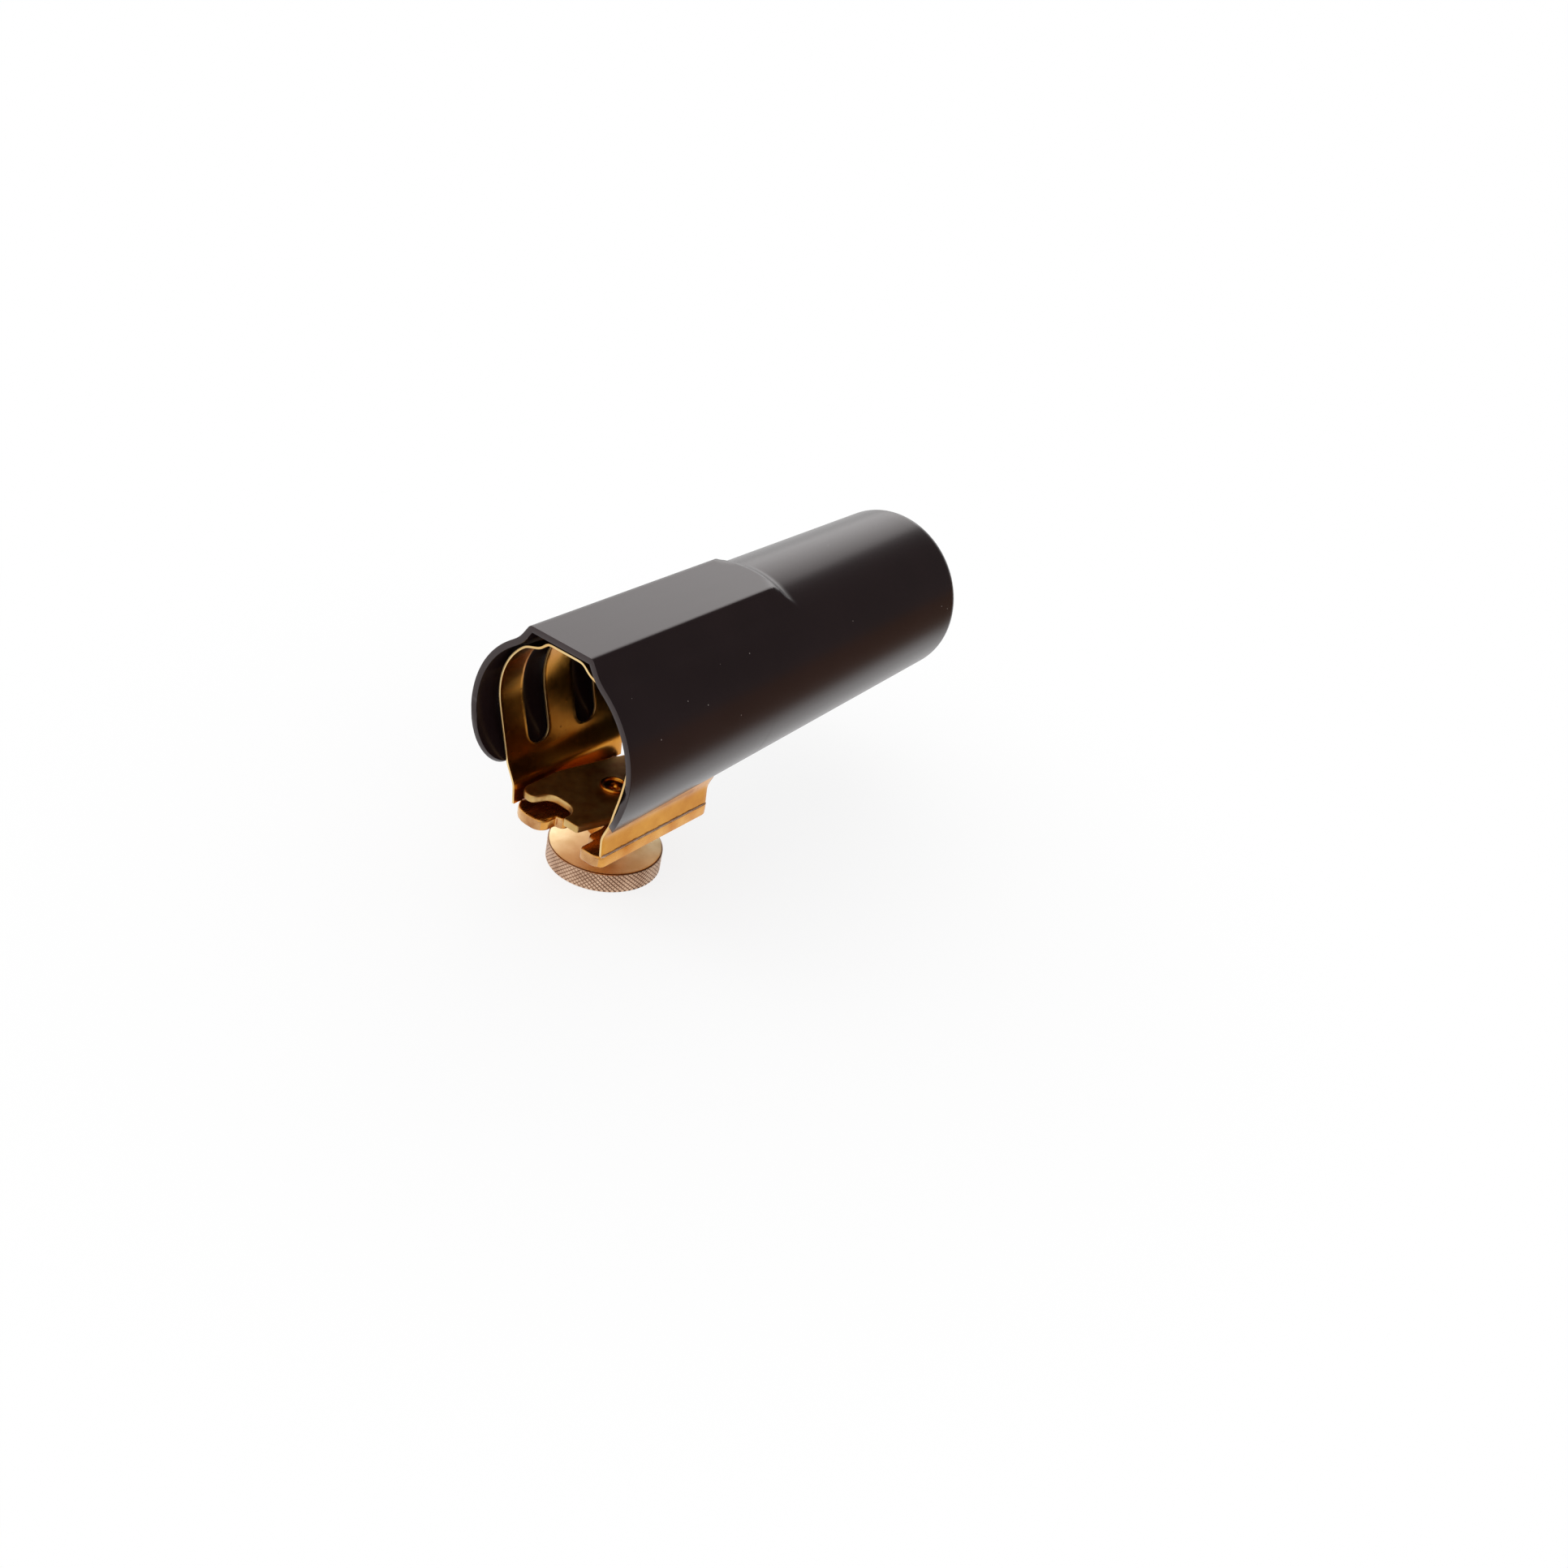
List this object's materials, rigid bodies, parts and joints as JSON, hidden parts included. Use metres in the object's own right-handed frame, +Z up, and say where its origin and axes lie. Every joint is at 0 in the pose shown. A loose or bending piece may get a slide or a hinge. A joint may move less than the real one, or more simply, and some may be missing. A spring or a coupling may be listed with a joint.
{
  "type": "saxophone ligature with mouthpiece cap",
  "caption": "Slotted brass band that clamps a reed to a saxophone mouthpiece with a knurled thumbscrew and a pressure plate, with its slide-on cap.",
  "frame": {"origin": "centre of the round bore of the band, straight above the axis of the thumbscrew", "axes": "+Y along the bore towards the closed end of the cap, +Z up, away from the thumbscrew, +X to the right seen from the open mouth"},
  "size_m": [0.032, 0.0912, 0.0449],
  "materials": {
    "gilt_brass": "thin bright gold lacquer over rolled brass, with fine scratches and pits",
    "worn_brass": "turned brass, its knurled rim rubbed dull",
    "solder": "bright fillet of plated solder",
    "black_plastic": "satin moulded black plastic"
  },
  "bodies": {
    "ligature": {"band": "gilt_brass", "base_plate": "gilt_brass", "threaded_boss": "gilt_brass", "solder_seams": "solder"},
    "rivet": {"tip_rivet": "gilt_brass"},
    "plate": {"pressure_plate": "gilt_brass"},
    "screw": {"thumbscrew": "worn_brass"},
    "cap": {"cap": "black_plastic"}
  },
  "joints": [
    {"name": "screw_travel", "type": "slide", "parent": "ligature", "child": "rivet", "axis": [0, 0, 1], "range_m": [-0.001, 0.0022]},
    {"name": "screw_turn", "type": "hinge", "parent": "rivet", "child": "screw", "pos_m": [0, 0, 0], "axis": [0, 0, 1], "range_deg": [-510, 1130]},
    {"name": "plate_swivel", "type": "hinge", "parent": "rivet", "child": "plate", "pos_m": [0, 0, 0], "axis": [0, 0, 1], "range_deg": [0, 18]},
    {"name": "cap_slide", "type": "slide", "parent": "ligature", "child": "cap", "axis": [0, 1, 0], "range_m": [0, 0.09]}
  ],
  "couplings": [
    {"joint": "screw_travel", "follows": "screw_turn", "m_per_rad": 0.00011141}
  ]
}
